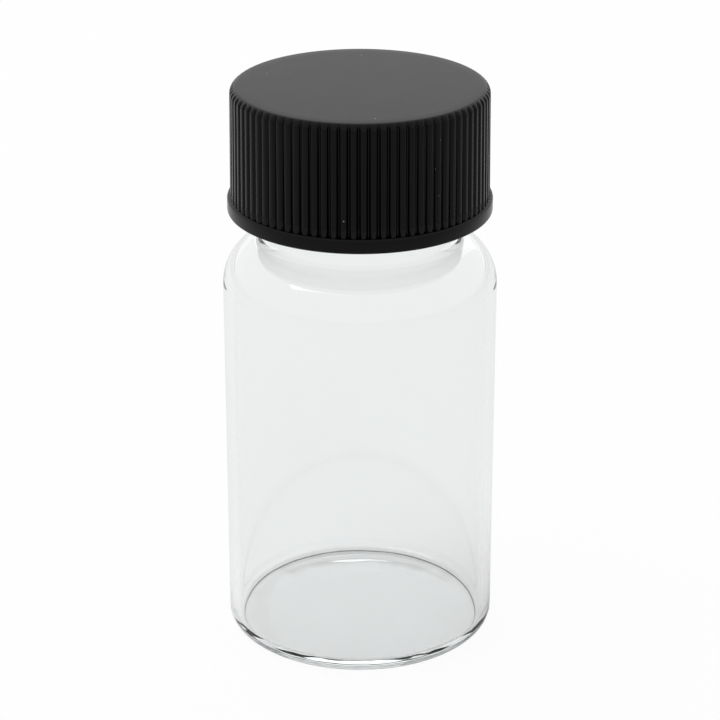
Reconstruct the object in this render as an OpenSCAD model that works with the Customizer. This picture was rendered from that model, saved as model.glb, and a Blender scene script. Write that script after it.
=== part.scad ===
// Clear glass sample vial with a ribbed black screw cap and a flat sealing liner.
// It stands on its foot. +Z is up, and the origin is the centre of the foot.

/* [Vial body] */
// Outside diameter of the straight body
body_d = 27.5; // [25:0.5:40]
// Height of the straight body, from the foot to the start of the shoulder
body_h = 37.6; // [20:0.1:80]
// Thickness of the side wall
wall_t = 1; // [0.8:0.1:1.6]
// Thickness of the base over the recess
base_t = 1.1; // [0.8:0.1:3]
// Radius of the heel, between the foot and the side
heel_r = 1.3; // [0.8:0.1:3]
// Radius of the corner inside, between the floor and the side
inner_corner_r = 0.5; // [0.3:0.1:3]
// Width of the flat ring that the vial stands on
foot_w = 0.2; // [0.1:0.05:3]
// Height of the shallow recess inside that ring
recess_h = 0.04; // [0.02:0.01:0.3]
// Radius of the rounded shoulder
shoulder_r = 4.9; // [4:0.1:8]

/* [Neck] */
// Diameter of the plain neck, at the foot of its thread
neck_d = 19.8; // [18:0.1:23]
// Height of the lip above the straight body
neck_top_h = 18; // [16:0.1:24]
// Thickness of the neck wall
neck_wall_t = 1.4; // [1.2:0.1:3]
// Radius of the fillet where the shoulder turns up into the neck
neck_fillet_r = 1; // [0.5:0.1:2]
// Radius of the lip's two edges
lip_edge_r = 0.5; // [0.3:0.1:0.7]

/* [Screw thread] */
// Rise of the thread in one turn
thread_pitch = 3.175; // [2.6:0.005:3.6]
// How far the neck's thread stands out of the neck
thread_depth = 1.05; // [0.7:0.05:1.4]
// Width of the neck's thread at its foot
neck_thread_w = 1.9; // [1.2:0.05:2.1]
// Width of the cap's thread at its foot
cap_thread_w = 1.7; // [1:0.05:1.9]
// Turns of thread on the neck
neck_turns = 1.25; // [1:0.05:1.5]
// Turns of thread in the cap
cap_turns = 1.25; // [1:0.05:1.5]
// Distance from the lip down to the upper edge of the neck's thread
thread_start = 1.2; // [0.8:0.1:2]
// Radial clearance between the neck's thread and the cap
thread_gap = 0.25; // [0.2:0.05:0.4]

/* [Cap] */
// Thickness of the skirt behind the grooves
skirt_t = 1.2; // [0.7:0.05:2]
// Thickness of the cap's top
cap_top_t = 1.5; // [1:0.1:3]
// Height of bare neck and shoulder left between the straight body and the rim
rim_clear_h = 7.8; // [6:0.1:9]
// Number of ribs round the skirt
rib_count = 84; // [40:1:120]
// Height of a rib at the top of the skirt
rib_h = 0.36; // [0.2:0.02:0.6]
// How much further the ribs stand out at the rim than at the top, for the mould's draft
rib_draft = 0.12; // [0:0.02:0.3]
// Share of the rib spacing that a rib's flat crest takes
rib_crest_share = 0.5; // [0.2:0.02:0.6]
// Share of the rib spacing that a groove's flat floor takes
groove_share = 0.14; // [0.1:0.02:0.36]
// Radius of the rounded edge round the cap's top
cap_edge_r = 0.9; // [0.4:0.1:1.2]
// Height of the plain bead round the rim
bead_h = 1.5; // [0.8:0.1:2]
// How far the bead stands out past the ribs
bead_out = 0.3; // [0.1:0.05:0.6]

/* [Liner] */
// Thickness of the sealing liner
liner_t = 1; // [0.6:0.1:2]
// Clearance round the liner, inside the cap
liner_gap = 0.15; // [0.1:0.05:0.3]

/* [Hidden] */
$fn = 180;

// Radii and heights of the glass
body_r = body_d / 2;
bore_r = body_r - wall_t;
neck_r = neck_d / 2;
mouth_r = neck_r - neck_wall_t;
lip_z = body_h + neck_top_h;
inner_fillet_r = neck_fillet_r + wall_t;
recess_r = body_r - heel_r - foot_w;
floor_z = recess_h + base_t;

// Radii and heights of the cap, worked out from the neck that it fits
thread_r = neck_r + thread_depth;
cap_bore_r = thread_r + thread_gap;
groove_r = cap_bore_r + skirt_t;
rib_top_r = groove_r + rib_h;
rib_rim_r = rib_top_r + rib_draft;
bead_r = rib_rim_r + bead_out;
rim_z = body_h + rim_clear_h;
ceiling_z = lip_z + liner_t;
cap_top_z = ceiling_z + cap_top_t;

// The thread's middle line, at angle zero, on the neck and half a pitch below it in the cap
neck_thread_z = lip_z - thread_start - neck_thread_w / 2 - neck_turns * thread_pitch;
cap_thread_z = neck_thread_z - thread_pitch / 2;
// Width of a thread's crest, as a share of the width of its foot
crest_share = 0.45;
// Depth to which the foot of a thread or rib is sunk into the wall that carries it
sink = 0.3;
// Sections of thread in one turn, and in the run-out at each end
turn_steps = 36;
fade_steps = 4;

// Outline, in the half-plane, of a round-shouldered bottle that stands on height z.
// corner is the radius at its foot, arc its shoulder's and fillet the one at its neck.
module bottle_outline(r, z, corner, arc, neck, fillet, top) {
    arc_x = r - arc;
    fillet_x = neck + fillet;
    fillet_z = body_h + sqrt(pow(arc + fillet, 2) - pow(fillet_x - arc_x, 2));
    meet = arc / (arc + fillet);
    meet_x = arc_x + meet * (fillet_x - arc_x);
    meet_z = body_h + meet * (fillet_z - body_h);
    translate([0, z]) square([r - corner, body_h - z]);
    translate([0, z + corner]) square([r, body_h - z - corner]);
    translate([r - corner, z + corner]) circle(corner);
    intersection() {
        translate([arc_x, body_h]) circle(arc);
        translate([0, body_h - arc]) square([r, meet_z - body_h + arc]);
    }
    difference() {
        translate([0, body_h - arc]) square([meet_x, fillet_z - body_h + arc]);
        translate([fillet_x, fillet_z]) circle(fillet);
    }
    translate([0, body_h]) square([neck, top - body_h]);
}

// Section of the lip: the end of the neck's wall, with both edges rounded
module lip_outline() {
    for (x = [mouth_r + lip_edge_r, neck_r - lip_edge_r])
        translate([x, lip_z - lip_edge_r]) circle(lip_edge_r);
    translate([mouth_r + lip_edge_r, lip_z - 2 * lip_edge_r])
        square([neck_wall_t - 2 * lip_edge_r, 2 * lip_edge_r]);
}

// Thread wound right-handed round the axis from angle zero. It stands out of a wall of radius
// root_r by depth, inwards where depth is negative, and fades away at both ends.
module thread_ridge(root_r, depth, ridge_w, turns, z) {
    steps = round(turns * turn_steps);
    dir = sign(depth);
    function fade(i) = min(1, (i + 0.5) / fade_steps, (steps - i + 0.5) / fade_steps);
    function section(i) = [
        [root_r - dir * sink, -ridge_w / 2],
        [root_r - dir * sink, ridge_w / 2],
        [root_r + depth * fade(i), ridge_w * crest_share / 2],
        [root_r + depth * fade(i), -ridge_w * crest_share / 2]
    ];
    function turned(p, i) = let (a = 360 * turns * i / steps)
        [p[0] * cos(a), p[0] * sin(a), z + p[1] + thread_pitch * turns * i / steps];
    points = [for (i = [0:steps]) each [for (p = section(i)) turned(p, i)]];
    sides = [for (i = [0:steps - 1], j = [0:3]) let (k = (j + 1) % 4)
        each [[4 * i + j, 4 * i + k, 4 * i + 4 + k], [4 * i + j, 4 * i + 4 + k, 4 * i + 4 + j]]];
    ends = [[3, 2, 1, 0], [for (j = [0:3]) 4 * steps + j]];
    faces = concat(sides, ends);
    polyhedron(points, dir > 0 ? [for (f = faces) [for (i = [len(f) - 1:-1:0]) f[i]]] : faces);
}

// The glass is one piece, worked from tube: foot, wall, shoulder, neck and thread
module glass_vial() {
    color([0.86, 0.92, 0.92, 0.35]) union() {
        rotate_extrude() {
            difference() {
                bottle_outline(body_r, 0, heel_r, shoulder_r, neck_r, neck_fillet_r, lip_z - lip_edge_r);
                bottle_outline(bore_r, floor_z, inner_corner_r, shoulder_r - wall_t, mouth_r,
                    inner_fillet_r, lip_z);
                translate([0, -1]) square([recess_r, recess_h + 1]);
            }
            lip_outline();
        }
        thread_ridge(neck_r, thread_depth, neck_thread_w, neck_turns, neck_thread_z);
    }
}

// One rib of the grip, seen from above, pointing along +X. It runs on past the grip's outline,
// which trims its crest, and its foot is sunk into the skirt.
module rib() {
    step = 360 / rib_count;
    crest_a = step * rib_crest_share / 2;
    foot_a = step * (1 - groove_share) / 2;
    function polar(r, a) = r * [cos(a), sin(a)];
    polygon([
        polar(groove_r - sink, -foot_a),
        polar(groove_r, -foot_a),
        polar(rib_rim_r, -crest_a),
        polar(rib_rim_r + sink, -crest_a),
        polar(rib_rim_r + sink, crest_a),
        polar(rib_rim_r, crest_a),
        polar(groove_r, foot_a),
        polar(groove_r - sink, foot_a)
    ]);
}

// Section of the space that the ribbed skirt fills: drafted, with a rounded upper edge
module grip_outline() {
    translate([0, rim_z]) polygon([
        [0, 0],
        [rib_rim_r, 0],
        [rib_top_r, cap_top_z - rim_z - cap_edge_r],
        [0, cap_top_z - rim_z - cap_edge_r]
    ]);
    translate([0, cap_top_z - 2 * cap_edge_r]) square([rib_top_r - cap_edge_r, 2 * cap_edge_r]);
    translate([rib_top_r - cap_edge_r, cap_top_z - cap_edge_r]) circle(cap_edge_r);
}

// The cap is one moulded piece: top, ribbed skirt, rim bead and inner thread
module screw_cap() {
    color([0.06, 0.06, 0.065]) union() {
        difference() {
            union() {
                intersection() {
                    translate([0, 0, rim_z]) linear_extrude(cap_top_z - rim_z) {
                        circle(groove_r);
                        for (i = [0:rib_count - 1]) rotate(360 * i / rib_count) rib();
                    }
                    rotate_extrude() grip_outline();
                }
                translate([0, 0, rim_z]) cylinder(h = bead_h, r = bead_r);
            }
            translate([0, 0, rim_z - 1]) cylinder(h = ceiling_z - rim_z + 1, r = cap_bore_r);
        }
        thread_ridge(cap_bore_r, -thread_depth, cap_thread_w, cap_turns, cap_thread_z);
    }
}

// The liner is a plain soft disc, pinched between the lip and the cap's top
module cap_liner() {
    color([0.93, 0.92, 0.88])
        translate([0, 0, lip_z]) cylinder(h = liner_t, r = cap_bore_r - liner_gap);
}

glass_vial();
screw_cap();
cap_liner();
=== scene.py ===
# %% [markdown]
# # A glass sample vial
#
# A small laboratory bottle: one piece of clear glass with a rounded shoulder and heel, and a
# black ribbed screw cap with a soft liner inside it. The fixed frame gives the outside sizes of
# each piece and the body that it moves with. This lesson gives the pieces their finish: glass
# that bends light as it should, a cap with crisp ribs and a satin moulded skin, and a plain
# white table. The sizes of the vial and the place of the camera are in millimetres and are
# turned to metres by one factor. The table and the lamps are large, so theirs are in metres.

import math

import bmesh
import bpy
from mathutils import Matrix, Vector


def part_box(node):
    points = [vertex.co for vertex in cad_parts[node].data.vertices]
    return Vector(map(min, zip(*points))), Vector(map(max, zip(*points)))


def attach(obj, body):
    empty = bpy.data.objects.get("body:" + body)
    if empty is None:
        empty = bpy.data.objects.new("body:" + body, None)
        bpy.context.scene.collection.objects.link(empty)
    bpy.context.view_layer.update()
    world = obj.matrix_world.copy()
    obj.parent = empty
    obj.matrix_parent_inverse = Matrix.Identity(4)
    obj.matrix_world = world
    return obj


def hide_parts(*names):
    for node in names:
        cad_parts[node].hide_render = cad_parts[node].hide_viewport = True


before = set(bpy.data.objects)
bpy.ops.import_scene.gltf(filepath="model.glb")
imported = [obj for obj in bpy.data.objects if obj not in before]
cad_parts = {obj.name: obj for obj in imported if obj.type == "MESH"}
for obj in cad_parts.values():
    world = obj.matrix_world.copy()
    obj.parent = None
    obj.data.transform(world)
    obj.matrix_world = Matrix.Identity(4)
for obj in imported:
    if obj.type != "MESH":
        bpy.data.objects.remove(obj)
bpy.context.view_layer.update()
MM = 0.001
NEAR_MM = 0.01  # how near a point lies to a surface to count as part of it

# %% [markdown]
# ## Sizes that come from the frame
#
# The widths and heights of the glass, the cap and the liner are read from the frame, so that
# the pieces made here fill the same space as the fixed ones. Only what the frame can't say, such
# as the radius of a corner, is given here as a number.

# %% Read the outside sizes


def size_of(node):
    """Radius, lowest and highest height of a node, in millimetres."""
    low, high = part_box(node)
    return min(-low.x, high.x) / MM, low.z / MM, high.z / MM


BODY_R, _, LIP_Z = size_of("glass_vial")
BEAD_R, RIM_Z, CAP_TOP_Z = size_of("screw_cap")
LINER_R, LINER_LOW_Z, LINER_TOP_Z = size_of("cap_liner")
print(f"glass r {BODY_R:.2f} to {LIP_Z:.1f}, cap r {BEAD_R:.2f} from {RIM_Z:.1f} to {CAP_TOP_Z:.1f}")

# %% [markdown]
# ## Outlines and spinning
#
# Everything here is round, so each piece starts as half of its section: a chain of points from
# the axis, round the outside and back to the axis. It could also be stacked from cylinders and
# cones, but a section that is spun once round keeps every curve tangent to the next one, which
# glass needs: a break in the surface shows as a hard line in what is seen through it.
# Straight stretches get evenly spaced points only where the surface is shaped later on.

# %% Points along arcs and straight stretches


def arc(centre, radius, start, end, steps):
    """Points round a centre in the half-plane, from one angle to another, in degrees."""
    turn = (end - start) / steps
    return [
        (
            centre[0] + radius * math.cos(math.radians(start + turn * i)),
            centre[1] + radius * math.sin(math.radians(start + turn * i)),
        )
        for i in range(steps + 1)
    ]


def straight(start, end, spacing):
    """Points between two ends, not counting the ends, no further apart than the spacing."""
    steps = max(1, math.ceil(math.dist(start, end) / spacing))
    return [
        (
            start[0] + (end[0] - start[0]) * i / steps,
            start[1] + (end[1] - start[1]) * i / steps,
        )
        for i in range(1, steps)
    ]


# %% Spin an outline into a closed solid
MERGE_MM = 0.001


def spin_solid(outline, steps):
    """Spins a chain of points, in millimetres, once round the vertical axis."""
    bm = bmesh.new()
    verts = [bm.verts.new((x * MM, 0, z * MM)) for x, z in outline]
    edges = [bm.edges.new(pair) for pair in zip(verts, verts[1:])]
    bmesh.ops.spin(
        bm,
        geom=verts + edges,
        cent=(0, 0, 0),
        axis=(0, 0, 1),
        angle=2 * math.pi,
        steps=steps,
        use_merge=True,
    )
    bmesh.ops.remove_doubles(bm, verts=bm.verts, dist=MERGE_MM * MM)
    return bm


def finish_piece(bm, name, material, body, node):
    """Turns a shape into a smooth piece that stands for a node and moves with its body."""
    bmesh.ops.recalc_face_normals(bm, faces=bm.faces)
    open_edges = sum(not edge.is_manifold for edge in bm.edges)
    mesh = bpy.data.meshes.new(name)
    bm.to_mesh(mesh)
    bm.free()
    mesh.shade_smooth()
    piece = bpy.data.objects.new(name, mesh)
    bpy.context.scene.collection.objects.link(piece)
    mesh.materials.append(material)
    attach(piece, body)
    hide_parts(node)
    triangles = sum(len(face.vertices) - 2 for face in mesh.polygons)
    print(f"{name}: {triangles} triangles, {open_edges} open edges")


def smoothstep(x):
    """0 below 0 and 1 above 1, with a soft start and end between them."""
    x = min(1.0, max(0.0, x))
    return x * x * (3 - 2 * x)


# %% [markdown]
# ## The screw thread
#
# The neck carries a right-handed thread that climbs one pitch in each turn, and the cap carries
# its partner half a pitch lower. A thread could be a second solid laid over the neck, but two
# glass solids inside each other show the hidden wall between them. A real neck has one skin, and
# the mould pushes the thread out of it. So the neck's own points are pushed out here, by an
# amount that depends on how near each point is to the thread's middle line.

# %% Height of the thread over the wall at a point
THREAD_PITCH = 3.175
THREAD_DEPTH = 1.05
THREAD_TURNS = 1.25
THREAD_START = 1.2  # from the lip down to the upper edge of the neck's thread
NECK_THREAD_W = 1.9
CAP_THREAD_W = 1.7
CREST_SHARE = 0.45
FADE_TURNS = 0.11
NECK_THREAD_Z = LIP_Z - THREAD_START - NECK_THREAD_W / 2 - THREAD_TURNS * THREAD_PITCH
CAP_THREAD_Z = NECK_THREAD_Z - THREAD_PITCH / 2


def thread_height(co, first_z, width):
    """Share of the full depth that a thread reaches at a point, from 0 to 1."""
    start_turn = (math.atan2(co.y, co.x) / (2 * math.pi)) % 1
    best = 0.0
    for turn in (start_turn, start_turn + 1):
        if turn > THREAD_TURNS:
            continue
        away = abs(co.z / MM - first_z - THREAD_PITCH * turn)
        flank = (1 - CREST_SHARE) * width / 2
        rise = smoothstep((width / 2 - away) / flank)
        run_out = min(turn, THREAD_TURNS - turn) / FADE_TURNS
        best = max(best, rise * smoothstep(run_out))
    return best


def push_radially(vert, radius):
    """Moves a point to a new distance from the axis, in millimetres."""
    now = math.hypot(vert.co.x, vert.co.y)
    vert.co.x *= radius * MM / now
    vert.co.y *= radius * MM / now


# %% [markdown]
# ## Nodes for materials
#
# Every material below is a small network of nodes. One function adds a node, sets its values and
# makes its links, so that a material reads as a list of what it is made of. Colours are written
# as the hex values that a paint chart gives, and one function turns them to the linear values
# that the renderer works in.

# %% Colour and node helpers


def linear(hex_colour):
    """Turns an sRGB hex colour to the linear values that a shader takes."""
    parts = [int(hex_colour[i : i + 2], 16) / 255 for i in (1, 3, 5)]
    return [c / 12.92 if c <= 0.04045 else ((c + 0.055) / 1.055) ** 2.4 for c in parts] + [1]


def add_node(tree, kind, settings=None, links=None):
    """Adds a node, sets its properties or sockets by name, and links its sockets."""
    node = tree.nodes.new(kind)
    for name, value in (settings or {}).items():
        if isinstance(name, str) and hasattr(node, name):
            setattr(node, name, value)
        else:
            node.inputs[name].default_value = value
    for socket, source in (links or {}).items():
        tree.links.new(source, node.inputs[socket])
    return node


def new_material(name):
    """An empty material with its tree and its output node."""
    material = bpy.data.materials.new(name)
    material.use_nodes = True
    material.node_tree.nodes.clear()
    return material, material.node_tree


# %% [markdown]
# ## Material: clear glass
#
# The vial is neutral laboratory glass, drawn and moulded hot, so its skin is fire-polished: it
# has no roughness, only very slow waves where the glass set while it still moved. Glass is seen
# by what it bends, so its index of refraction is the real 1.5 and its colour is all but clear.
# A faint grey absorption inside it stands for the light that each wall takes away.
# The waves are a bump, about 4 mm from crest to crest, and far too low to be felt.

# %% Make the glass
GLASS_WAVE_MM = 4.0
GLASS_WAVE_HEIGHT_MM = 0.05


def make_clear_glass():
    material, tree = new_material("clear_laboratory_glass")
    place = add_node(tree, "ShaderNodeTexCoord")
    waves = add_node(
        tree,
        "ShaderNodeTexNoise",
        {"Scale": 1 / (GLASS_WAVE_MM * MM), "Detail": 1.0, "Roughness": 0.4},
        {"Vector": place.outputs["Object"]},
    )
    bump = add_node(
        tree,
        "ShaderNodeBump",
        {"Strength": 0.04, "Distance": GLASS_WAVE_HEIGHT_MM * MM},
        {"Height": waves.outputs["Fac"]},
    )
    surface = add_node(
        tree,
        "ShaderNodeBsdfPrincipled",
        {
            "Base Color": linear("#fcfdfd"),
            "Roughness": 0.0,
            "IOR": 1.5,
            "Transmission Weight": 1.0,
        },
        {"Normal": bump.outputs["Normal"]},
    )
    inside = add_node(
        tree, "ShaderNodeVolumeAbsorption", {"Color": linear("#e6eaea"), "Density": 40.0}
    )
    add_node(
        tree,
        "ShaderNodeOutputMaterial",
        links={"Surface": surface.outputs["BSDF"], "Volume": inside.outputs["Volume"]},
    )
    return material


# %% [markdown]
# ## Material: black polypropylene
#
# The cap is injection-moulded polypropylene coloured with carbon black. Its mould is finely
# eroded, so the skin is satin: it reflects as a soft sheen at a shallow angle and almost nothing
# when it is looked at straight. The grain is about 0.12 mm across. A few specks of pale lint lie
# on it, as they do on any black cap that has been handled. They are the cells of a Voronoi
# pattern whose middles happen to lie on the skin.

# %% Make the cap's plastic
GRAIN_MM = 0.12
GRAIN_HEIGHT_MM = 0.01
MOTTLE_MM = 2.5
SPECK_SPACING_MM = 2.5
SPECK_R_MM = 0.07


def make_black_polypropylene():
    material, tree = new_material("black_moulded_polypropylene")
    place = add_node(tree, "ShaderNodeTexCoord")
    grain = add_node(
        tree,
        "ShaderNodeTexNoise",
        {"Scale": 1 / (GRAIN_MM * MM), "Detail": 2.0, "Roughness": 0.6},
        {"Vector": place.outputs["Object"]},
    )
    mottle = add_node(
        tree,
        "ShaderNodeTexNoise",
        {"Scale": 1 / (MOTTLE_MM * MM), "Detail": 3.0, "Roughness": 0.6},
        {"Vector": place.outputs["Object"]},
    )
    rough = add_node(
        tree,
        "ShaderNodeMapRange",
        {"From Min": 0.3, "From Max": 0.7, "To Min": 0.24, "To Max": 0.27},
        {"Value": mottle.outputs["Fac"]},
    )
    black = add_node(
        tree,
        "ShaderNodeMix",
        {"data_type": "RGBA", 6: linear("#010101"), 7: linear("#020202")},
        {0: mottle.outputs["Fac"]},
    )
    speck = add_node(
        tree,
        "ShaderNodeTexVoronoi",
        {"Scale": 1 / (SPECK_SPACING_MM * MM)},
        {"Vector": place.outputs["Object"]},
    )
    is_speck = add_node(
        tree,
        "ShaderNodeMath",
        {"operation": "LESS_THAN", 1: SPECK_R_MM / SPECK_SPACING_MM},
        {0: speck.outputs["Distance"]},
    )
    shade = add_node(
        tree,
        "ShaderNodeMix",
        {"data_type": "RGBA", 7: linear("#9a9a98")},
        {0: is_speck.outputs[0], 6: black.outputs[2]},
    )
    bump = add_node(
        tree,
        "ShaderNodeBump",
        {"Strength": 0.35, "Distance": GRAIN_HEIGHT_MM * MM},
        {"Height": grain.outputs["Fac"]},
    )
    surface = add_node(
        tree,
        "ShaderNodeBsdfPrincipled",
        {"IOR": 1.49, "Specular IOR Level": 0.15},
        {
            "Base Color": shade.outputs[2],
            "Roughness": rough.outputs["Result"],
            "Normal": bump.outputs["Normal"],
        },
    )
    add_node(tree, "ShaderNodeOutputMaterial", links={"Surface": surface.outputs["BSDF"]})
    return material


# %% [markdown]
# ## Material: foamed polyethylene
#
# The liner is punched from a sheet of off-white foamed polyethylene. It is soft and dull, with
# cells about 0.3 mm across that show as a faint dimpling.

# %% Make the liner's foam
FOAM_CELL_MM = 0.3
FOAM_DIMPLE_MM = 0.03


def make_foamed_polyethylene():
    material, tree = new_material("foamed_polyethylene")
    place = add_node(tree, "ShaderNodeTexCoord")
    cells = add_node(
        tree,
        "ShaderNodeTexVoronoi",
        {"Scale": 1 / (FOAM_CELL_MM * MM)},
        {"Vector": place.outputs["Object"]},
    )
    shade = add_node(
        tree,
        "ShaderNodeMix",
        {"data_type": "RGBA", 6: linear("#ece9e0"), 7: linear("#e2dfd5")},
        {0: cells.outputs["Distance"]},
    )
    bump = add_node(
        tree,
        "ShaderNodeBump",
        {"Strength": 0.4, "Distance": FOAM_DIMPLE_MM * MM},
        {"Height": cells.outputs["Distance"]},
    )
    surface = add_node(
        tree,
        "ShaderNodeBsdfPrincipled",
        {"IOR": 1.5, "Roughness": 0.7},
        {"Base Color": shade.outputs[2], "Normal": bump.outputs["Normal"]},
    )
    add_node(tree, "ShaderNodeOutputMaterial", links={"Surface": surface.outputs["BSDF"]})
    return material


# %% [markdown]
# ## The glass
#
# The section runs from the middle of the foot, out of its shallow recess, round the heel, up the
# wall, over the shoulder and the neck to the lip, and back down the inside to the floor. The
# shoulder and the fillet at the neck are two arcs that touch, so the point where they meet lies
# on the line between their centres. The inside has the same two arcs, one wall's thickness in.
#
# The base of such a vial is melted shut on a turning tube, with no core inside to shape it, so
# the corner inside is never quite true. It wavers here by up to four hundredths of a millimetre.
# That is too little to see as a shape, but it breaks up the bright and dark lines in the heel.

# %% Corner radii and walls of the glass
WALL_T = 1.0
FLOOR_Z = 1.14
HEEL_R = 1.3
INNER_CORNER_R = 0.5
FOOT_W = 0.2
RECESS_H = 0.04
STRAIGHT_TOP_Z = 37.6
SHOULDER_R = 4.9
NECK_R = 9.9
MOUTH_R = 8.5
NECK_FILLET_R = 1.0
LIP_EDGE_R = 0.5
GLASS_STEPS = 256
SHOULDER_STEPS = 20
FILLET_STEPS = 10
CORNER_STEPS = 24
LIP_STEPS = 8
RECESS_STEPS = 6
THREAD_ROW_MM = 0.17
WAVER_MM = 0.02
BORE_R = BODY_R - WALL_T
CORNER_X = BORE_R - INNER_CORNER_R
CORNER_TOP_Z = FLOOR_Z + INNER_CORNER_R


def shoulder(r, shoulder_r, neck_r, fillet_r):
    """Points from the straight wall, over the shoulder's arc, to the top of the neck's fillet."""
    arc_x = r - shoulder_r
    fillet_x = neck_r + fillet_r
    fillet_z = STRAIGHT_TOP_Z + math.sqrt((shoulder_r + fillet_r) ** 2 - (fillet_x - arc_x) ** 2)
    meet = math.degrees(math.atan2(fillet_z - STRAIGHT_TOP_Z, fillet_x - arc_x))
    over = arc((arc_x, STRAIGHT_TOP_Z), shoulder_r, 0, meet, SHOULDER_STEPS)
    up = arc((fillet_x, fillet_z), fillet_r, 180 + meet, 180, FILLET_STEPS)
    return over + up[1:]


# %% Draw the section of the glass


def glass_outline():
    recess_x = BODY_R - HEEL_R - FOOT_W
    outside = [(0, RECESS_H), (recess_x / 2, RECESS_H)]
    outside += arc((recess_x - RECESS_H, 0), RECESS_H, 90, 0, RECESS_STEPS)
    outside += arc((BODY_R - HEEL_R, HEEL_R), HEEL_R, -90, 0, CORNER_STEPS)
    outside += shoulder(BODY_R, SHOULDER_R, NECK_R, NECK_FILLET_R)
    lip_low = LIP_Z - LIP_EDGE_R
    neck = straight(outside[-1], (NECK_R, lip_low), THREAD_ROW_MM)
    lip = arc((NECK_R - LIP_EDGE_R, lip_low), LIP_EDGE_R, 0, 90, LIP_STEPS)
    lip += arc((MOUTH_R + LIP_EDGE_R, lip_low), LIP_EDGE_R, 90, 180, LIP_STEPS)
    inside = shoulder(BORE_R, SHOULDER_R - WALL_T, MOUTH_R, NECK_FILLET_R + WALL_T)[::-1]
    floor = arc((CORNER_X, CORNER_TOP_Z), INNER_CORNER_R, 0, -90, CORNER_STEPS)
    return outside + neck + lip + inside + floor + [(CORNER_X / 2, FLOOR_Z), (0, FLOOR_Z)]


# %% Spin the glass, waver its inner corner and raise its thread


def waver(co):
    """Rise of the inner corner at a point, in millimetres, from three slow waves round it."""
    turn = math.atan2(co.y, co.x)
    waves = math.sin(7 * turn + 1) + 0.7 * math.sin(12 * turn) + 0.5 * math.sin(19 * turn + 2)
    return WAVER_MM * waves


def build_glass(material):
    bm = spin_solid(glass_outline(), GLASS_STEPS)
    for vert in bm.verts:
        r = math.hypot(vert.co.x, vert.co.y) / MM
        z = vert.co.z / MM
        in_corner = CORNER_X - NEAR_MM < r < BORE_R + NEAR_MM
        if in_corner and FLOOR_Z - NEAR_MM < z < CORNER_TOP_Z + NEAR_MM:
            vert.co.z += waver(vert.co) * MM
    on_neck = [
        vert
        for vert in bm.verts
        if abs(math.hypot(vert.co.x, vert.co.y) / MM - NECK_R) < NEAR_MM
        and vert.co.z / MM > STRAIGHT_TOP_Z
    ]
    for vert in on_neck:
        height = thread_height(vert.co, NECK_THREAD_Z, NECK_THREAD_W)
        push_radially(vert, NECK_R + THREAD_DEPTH * height)
    finish_piece(bm, "vial_glass", material, "vial", "glass_vial")


build_glass(make_clear_glass())

# %% [markdown]
# ## The cap
#
# The cap's section is spun in the same way, with eight steps for each rib. Its points between
# the bead and the top are then pushed in where the grooves run. Each groove has a round floor
# and stops where the rounded upper edge falls below it, which gives the pointed ends that the
# mould leaves there. Cutting the grooves as a boolean would do the same more slowly.

# %% Sizes of the cap
RIB_COUNT = 84
STEPS_PER_RIB = 8
RIB_TURN = 1.55  # how far the first rib lies round from the front, in degrees
FRONT_ANGLE = -90  # the front, -Y, as an angle round from +X
RIB_CREST_SHARE = 0.5
BEAD_OUT = 0.3
BEAD_H = 1.5
BEAD_EDGE_R = 0.22
RIB_DRAFT = 0.12
RIB_H = 0.36
CAP_EDGE_R = 0.7
CAP_EDGE_STEPS = 8
BEAD_EDGE_STEPS = 4
SIDE_ROW_MM = 1.0
BORE_ROW_MM = 0.22
HUB_R = 2.5  # the innermost ring of the flat faces
MIDDLE_SHARE = 0.6  # how far out the next ring lies
FLAT_RING_IN = 1.0  # from the rounded edge in to the last flat ring
PLAIN_BORE_H = 0.1  # left plain under the ceiling
THREAD_GAP = 0.25
GROOVE_R = BEAD_R - BEAD_OUT - RIB_DRAFT - RIB_H
CAP_BORE_R = NECK_R + THREAD_DEPTH + THREAD_GAP


def cap_outline():
    rib_rim_r = BEAD_R - BEAD_OUT
    rib_top_r = rib_rim_r - RIB_DRAFT
    edge_x = rib_top_r - CAP_EDGE_R
    edge_z = CAP_TOP_Z - CAP_EDGE_R
    bead_top_z = RIM_Z + BEAD_H
    top_rings = [0, HUB_R, edge_x * MIDDLE_SHARE, edge_x - FLAT_RING_IN]
    top = [(ring, CAP_TOP_Z) for ring in top_rings]
    edge = arc((edge_x, edge_z), CAP_EDGE_R, 90, 0, CAP_EDGE_STEPS)
    side_top = edge[-1]
    side_end = (rib_rim_r, bead_top_z)
    side = straight(side_top, side_end, SIDE_ROW_MM) + [side_end]
    bead_x = BEAD_R - BEAD_EDGE_R
    low_z = RIM_Z + BEAD_EDGE_R
    bead = arc((bead_x, bead_top_z - BEAD_EDGE_R), BEAD_EDGE_R, 90, 0, BEAD_EDGE_STEPS)
    bead += arc((bead_x, low_z), BEAD_EDGE_R, 0, -90, BEAD_EDGE_STEPS)
    mouth = arc((CAP_BORE_R + BEAD_EDGE_R, low_z), BEAD_EDGE_R, 270, 180, BEAD_EDGE_STEPS)
    bore_top = (CAP_BORE_R, LINER_TOP_Z)
    bore = straight((CAP_BORE_R, low_z), bore_top, BORE_ROW_MM) + [bore_top]
    ceiling = [(ring, LINER_TOP_Z) for ring in (CAP_BORE_R * MIDDLE_SHARE, HUB_R, 0)]
    return top + edge + side + bead + mouth + bore + ceiling


# %% Depth of a groove at a point of the skirt


def groove_share(co):
    """0 on a rib's crest and 1 on the floor of a groove."""
    turn = math.degrees(math.atan2(co.y, co.x)) - RIB_TURN - FRONT_ANGLE
    across = abs((turn * RIB_COUNT / 360) % 1 - 0.5) * 2
    into = (1 - across) - RIB_CREST_SHARE
    return math.sin(math.pi / 2 * (into / (1 - RIB_CREST_SHARE))) if into > 0 else 0.0


# %% Spin the cap, press in its grooves and raise its thread


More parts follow.
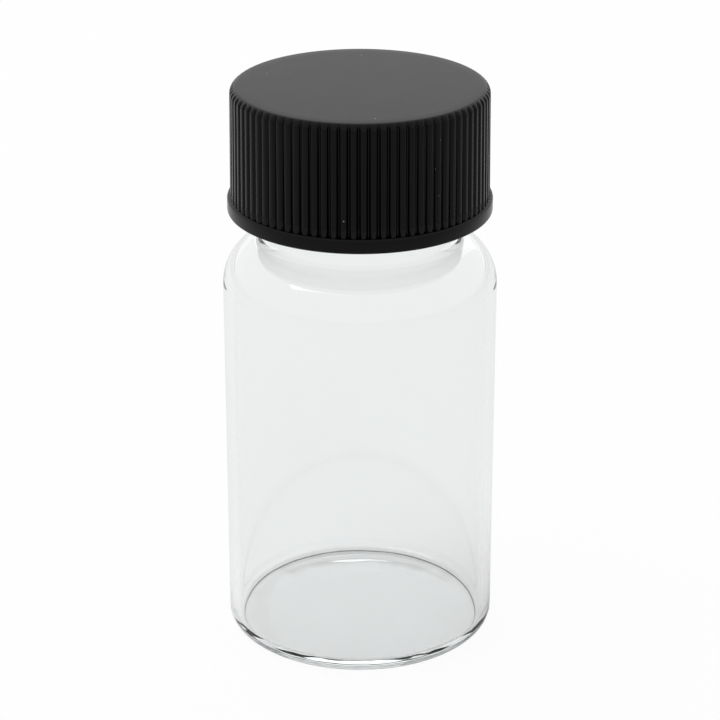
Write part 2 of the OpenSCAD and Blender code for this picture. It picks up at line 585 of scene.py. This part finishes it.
def build_cap(material):
    bm = spin_solid(cap_outline(), RIB_COUNT * STEPS_PER_RIB)
    for vert in bm.verts:
        r = math.hypot(vert.co.x, vert.co.y) / MM
        z = vert.co.z / MM
        if r > GROOVE_R and z > RIM_Z + BEAD_H - NEAR_MM:
            push_radially(vert, r - (r - GROOVE_R) * groove_share(vert.co))
        elif abs(r - CAP_BORE_R) < NEAR_MM and z < LINER_TOP_Z - PLAIN_BORE_H:
            height = thread_height(vert.co, CAP_THREAD_Z, CAP_THREAD_W)
            push_radially(vert, CAP_BORE_R - THREAD_DEPTH * height)
    finish_piece(bm, "ribbed_cap", material, "cap", "screw_cap")


build_cap(make_black_polypropylene())

# %% [markdown]
# ## The liner
#
# The liner is a punched disc, so its edges are nearly square. The lip has pressed a shallow ring
# into its underside.

# %% Spin the liner
LINER_EDGE_R = 0.12
LINER_EDGE_STEPS = 4
LINER_STEPS = 128
PRINT_DEPTH = 0.06
PRINT_SLOPE_W = 0.2


def build_liner(material):
    print_in = MOUTH_R + LIP_EDGE_R / 2
    print_out = NECK_R - LIP_EDGE_R / 2
    low = LINER_LOW_Z
    dent = low + PRINT_DEPTH
    under = [(0, low), (MOUTH_R / 2, low), (print_in - PRINT_SLOPE_W, low), (print_in, dent)]
    under += [(print_out, dent), (print_out + PRINT_SLOPE_W, low)]
    edge_x = LINER_R - LINER_EDGE_R
    side = arc((edge_x, low + LINER_EDGE_R), LINER_EDGE_R, -90, 0, LINER_EDGE_STEPS)
    side += arc((edge_x, LINER_TOP_Z - LINER_EDGE_R), LINER_EDGE_R, 0, 90, LINER_EDGE_STEPS)
    top = [(MOUTH_R / 2, LINER_TOP_Z), (0, LINER_TOP_Z)]
    bm = spin_solid(under + side + top, LINER_STEPS)
    finish_piece(bm, "foam_liner", material, "liner", "cap_liner")


build_liner(make_foamed_polyethylene())

# %% [markdown]
# ## The table and the light
#
# The table is a plain pale floor that the lamps light in the usual way, so it takes the vial's
# shadow. The Light Path node mixes in a white glow: nearly all of it for the camera, about half
# for what is seen through glass, and a trace for reflections. Diffuse rays get none, so the glow
# doesn't light the matte surfaces. The world is plain white to the same three kinds of ray, and a
# softer fill to the rest.

# %% Lay the floor
FLOOR_SIZE_M = 6.0
FLOOR_DROP_MM = 0.01  # a hair under the foot, so that the two faces never share a plane
WHITE_FOR_CAMERA = 0.95
WHITE_FOR_GLASS = 0.45
WHITE_FOR_GLOSS = 0.05


def seen_as_white(tree, shares):
    """One number for how white a surface is shown to the ray that meets it."""
    path = add_node(tree, "ShaderNodeLightPath")
    total = None
    for ray, share in shares.items():
        part = add_node(
            tree, "ShaderNodeMath", {"operation": "MULTIPLY", 1: share}, {0: path.outputs[ray]}
        )
        if total is None:
            total = part
        else:
            total = add_node(
                tree,
                "ShaderNodeMath",
                {"operation": "MAXIMUM"},
                {0: total.outputs[0], 1: part.outputs[0]},
            )
    return total.outputs[0]


def build_floor():
    bm = bmesh.new()
    bmesh.ops.create_grid(bm, x_segments=1, y_segments=1, size=FLOOR_SIZE_M / 2)
    bmesh.ops.translate(bm, vec=(0, 0, -FLOOR_DROP_MM * MM), verts=bm.verts)
    mesh = bpy.data.meshes.new("table")
    bm.to_mesh(mesh)
    bm.free()
    floor = bpy.data.objects.new("table", mesh)
    bpy.context.scene.collection.objects.link(floor)
    material, tree = new_material("white_table")
    share = seen_as_white(
        tree,
        {
            "Is Camera Ray": WHITE_FOR_CAMERA,
            "Is Transmission Ray": WHITE_FOR_GLASS,
            "Is Glossy Ray": WHITE_FOR_GLOSS,
        },
    )
    lit = add_node(tree, "ShaderNodeBsdfDiffuse", {"Color": linear("#f2f2f2")})
    glow = add_node(tree, "ShaderNodeEmission", {"Color": linear("#ffffff"), "Strength": 1.0})
    both = add_node(
        tree,
        "ShaderNodeMixShader",
        links={0: share, 1: lit.outputs[0], 2: glow.outputs[0]},
    )
    add_node(tree, "ShaderNodeOutputMaterial", links={"Surface": both.outputs[0]})
    mesh.materials.append(material)


build_floor()

# %% Fill the world with soft light
WORLD_FILL = 0.4


def build_world():
    world = bpy.data.worlds.new("studio")
    bpy.context.scene.world = world
    world.use_nodes = True
    tree = world.node_tree
    tree.nodes.clear()
    white = seen_as_white(
        tree, {"Is Camera Ray": 1.0, "Is Transmission Ray": 1.0, "Is Glossy Ray": 1.0}
    )
    strength = add_node(
        tree, "ShaderNodeMix", {"data_type": "FLOAT", 2: WORLD_FILL, 3: 1.0}, {0: white}
    )
    light = add_node(
        tree,
        "ShaderNodeBackground",
        {"Color": linear("#ffffff")},
        {"Strength": strength.outputs[0]},
    )
    add_node(tree, "ShaderNodeOutputWorld", links={"Surface": light.outputs["Background"]})


build_world()

# %% [markdown]
# ## Two softboxes
#
# One lamp hangs over the table and a weaker one stands behind the vial. They are hidden from
# glossy reflections, which keeps bright patches off the cap. A ray that has passed through glass
# still meets them, so the shoulder has a thin bright line in front and a patch behind.
# Places and sizes are in metres, and power is in watts.

# %% Hang one softbox overhead and one behind


def add_softbox(name, place, size, power):
    """A square area lamp that looks at the middle of the vial."""
    data = bpy.data.lights.new(name, "AREA")
    data.shape = "SQUARE"
    data.size = size
    data.energy = power
    lamp = bpy.data.objects.new(name, data)
    lamp.visible_glossy = False
    lamp.location = place
    aim = Vector((0, 0, LIP_Z / 2 * MM)) - Vector(place)
    lamp.rotation_euler = aim.to_track_quat("-Z", "Y").to_euler()
    bpy.context.scene.collection.objects.link(lamp)


add_softbox("overhead_softbox", place=(-0.2, 0.1, 0.8), size=0.6, power=4.0)
add_softbox("back_softbox", place=(0.1, 0.9, 0.5), size=0.7, power=1.0)

# %% [markdown]
# ## The camera
#
# The vial is seen from a little above, through a long lens, upright in the middle of the frame.

# %% Place the camera
CAMERA_BACK_MM = 240.0
CAMERA_UP_MM = 133.0
CAMERA_PITCH = 23.46
LENS_MM = 128.3
SENSOR_MM = 36.0
NEAREST_SEEN_MM = 10


def build_camera():
    data = bpy.data.cameras.new("camera")
    data.lens = LENS_MM
    data.sensor_width = SENSOR_MM
    data.clip_start = NEAREST_SEEN_MM * MM
    camera = bpy.data.objects.new("camera", data)
    camera.location = (0, -CAMERA_BACK_MM * MM, CAMERA_UP_MM * MM)
    camera.rotation_euler = (math.radians(90 - CAMERA_PITCH), 0, 0)
    bpy.context.scene.collection.objects.link(camera)
    bpy.context.scene.camera = camera


build_camera()
bpy.context.scene.view_settings.view_transform = "Standard"

# %% [markdown]
# ## Light that is trapped in the glass
#
# A ray that enters the wall or the heel may be turned back many times inside it before it leaves.
# The renderer gives up after a few bounces and shows such places black, so it is allowed more.

# %% Let light bounce long enough in the glass
GLASS_BOUNCES = 32
cycles = bpy.context.scene.cycles
cycles.max_bounces = GLASS_BOUNCES
cycles.transmission_bounces = GLASS_BOUNCES
cycles.glossy_bounces = GLASS_BOUNCES
